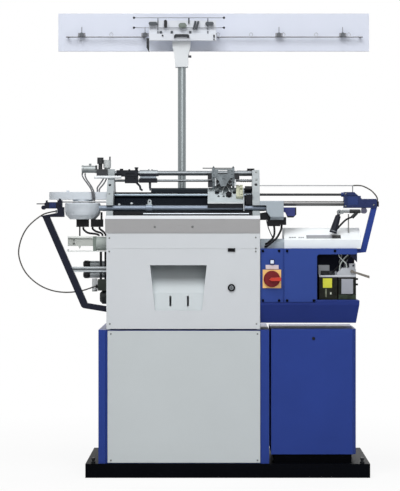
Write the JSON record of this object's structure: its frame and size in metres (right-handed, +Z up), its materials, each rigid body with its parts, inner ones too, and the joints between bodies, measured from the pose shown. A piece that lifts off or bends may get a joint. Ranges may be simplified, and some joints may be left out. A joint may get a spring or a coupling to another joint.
{
  "type": "flat knitting machine",
  "caption": "Automatic flat knitting machine for gloves on a blue stand with grey panels, carriage and needle beds in view, side electrics and a tall yarn stand.",
  "frame": {"origin": "middle of the base's underside, on the floor", "axes": "+Z up, -Y to the machine's front, +X to its right as seen from the front"},
  "size_m": [1.4607, 0.62, 1.909],
  "materials": {
    "black_paint": "satin",
    "blue_paint": "satin",
    "grey_paint": "satin",
    "cover_paint": "satin",
    "white_paint": "satin",
    "navy_paint": "satin",
    "bed_steel": "satin",
    "steel": "satin",
    "chrome": "polished",
    "black_steel": "satin",
    "aluminium": "satin",
    "black_plastic": "matte",
    "black_rubber": "matte",
    "grey_cable": "matte",
    "yellow_plate": "gloss",
    "red_plastic": "gloss"
  },
  "bodies": {
    "machine": {"base_frame": "black_paint", "levelling_bolts": "black_steel", "stand_cabinet": "blue_paint", "lower_front_panel": "grey_paint", "body_frame": "grey_paint", "upper_front_panel": "grey_paint", "glove_chute": "grey_paint", "panel_lock": "black_plastic", "top_cover": "cover_paint", "front_guard": "black_paint", "needle_beds": "bed_steel", "needles": "steel", "knockover_bars": "steel", "carriage_rails": "steel", "left_end_plate": "grey_paint", "right_end_plate": "grey_paint", "feeder_rails": "steel", "belt_cover": "black_paint", "carriage_stops": "black_steel", "feeder_block": "black_steel", "air_unit": "aluminium", "leads": "black_rubber", "drive_box": "white_paint", "motor_cover": "white_paint", "drive_motor": "black_plastic", "left_arm": "navy_paint", "left_bracket": "navy_paint", "side_rods": "steel", "loop_cable": "grey_cable", "takedown_drive": "grey_paint", "racking_cover": "grey_paint", "racking_motor": "blue_paint", "right_bracket": "blue_paint", "right_arm": "blue_paint", "right_cable": "grey_cable", "lamp_arm": "steel", "console": "white_paint", "cable_cover": "grey_paint", "electrics_cabinet": "blue_paint", "electrics_covers": "blue_paint", "switch_plate": "yellow_plate", "oil_tanks": "black_plastic", "pump_block": "steel", "side_cabinet": "blue_paint", "mast": "steel", "mast_head": "white_paint", "yarn_panel": "white_paint", "yarn_guides": "steel", "yarn_unit": "white_paint"},
    "carriage": {"carriage_frame": "steel", "cam_plates": "steel", "carriage_sliders": "black_steel"},
    "stitch_dial": {"stitch_knob": "black_plastic"},
    "feeder": {"yarn_feeder": "black_steel"},
    "lock": {"lock_barrel": "chrome"},
    "takedown_upper": {"upper_roller": "steel"},
    "takedown_lower": {"lower_roller": "steel"},
    "lamp": {"lamp_head": "black_steel"},
    "main_switch": {"switch_knob": "red_plastic"},
    "lever": {"priming_lever": "black_steel"}
  },
  "joints": [
    {"name": "carriage_slide", "type": "slide", "parent": "machine", "child": "carriage", "axis": [1, 0, 0], "range_m": [-0.22, 0]},
    {"name": "stitch_turn", "type": "hinge", "parent": "carriage", "child": "stitch_dial", "pos_m": [0.005, -0.15491, 1.13186], "axis": [0, -0.7071, 0.7071], "range_deg": [-150, 150]},
    {"name": "feeder_slide", "type": "slide", "parent": "machine", "child": "feeder", "axis": [1, 0, 0], "range_m": [0, 0.18]},
    {"name": "lock_turn", "type": "hinge", "parent": "machine", "child": "lock", "pos_m": [0.015, -0.296, 0.761], "axis": [0, 1, 0], "range_deg": [0, 90]},
    {"name": "upper_roller_turn", "type": "hinge", "parent": "machine", "child": "takedown_upper", "pos_m": [0, -0.1, 0.852], "axis": [1, 0, 0], "continuous": true},
    {"name": "lower_roller_turn", "type": "hinge", "parent": "machine", "child": "takedown_lower", "pos_m": [0, -0.1, 0.808], "axis": [1, 0, 0], "continuous": true},
    {"name": "lamp_tilt", "type": "hinge", "parent": "machine", "child": "lamp", "pos_m": [0.4505, -0.23, 1.064], "axis": [0, 1, 0], "range_deg": [-15, 60]},
    {"name": "switch_turn", "type": "hinge", "parent": "machine", "child": "main_switch", "pos_m": [0.177, -0.3, 0.796], "axis": [0, 1, 0], "range_deg": [0, 90]},
    {"name": "lever_prime", "type": "hinge", "parent": "machine", "child": "lever", "pos_m": [0.5, -0.26, 0.825], "axis": [0, -1, 0], "range_deg": [0, 30], "stiffness_Nm_per_rad": 0.3, "springref_deg": -5.73}
  ],
  "couplings": [
    {"joint": "lower_roller_turn", "follows": "upper_roller_turn", "ratio": -1}
  ]
}
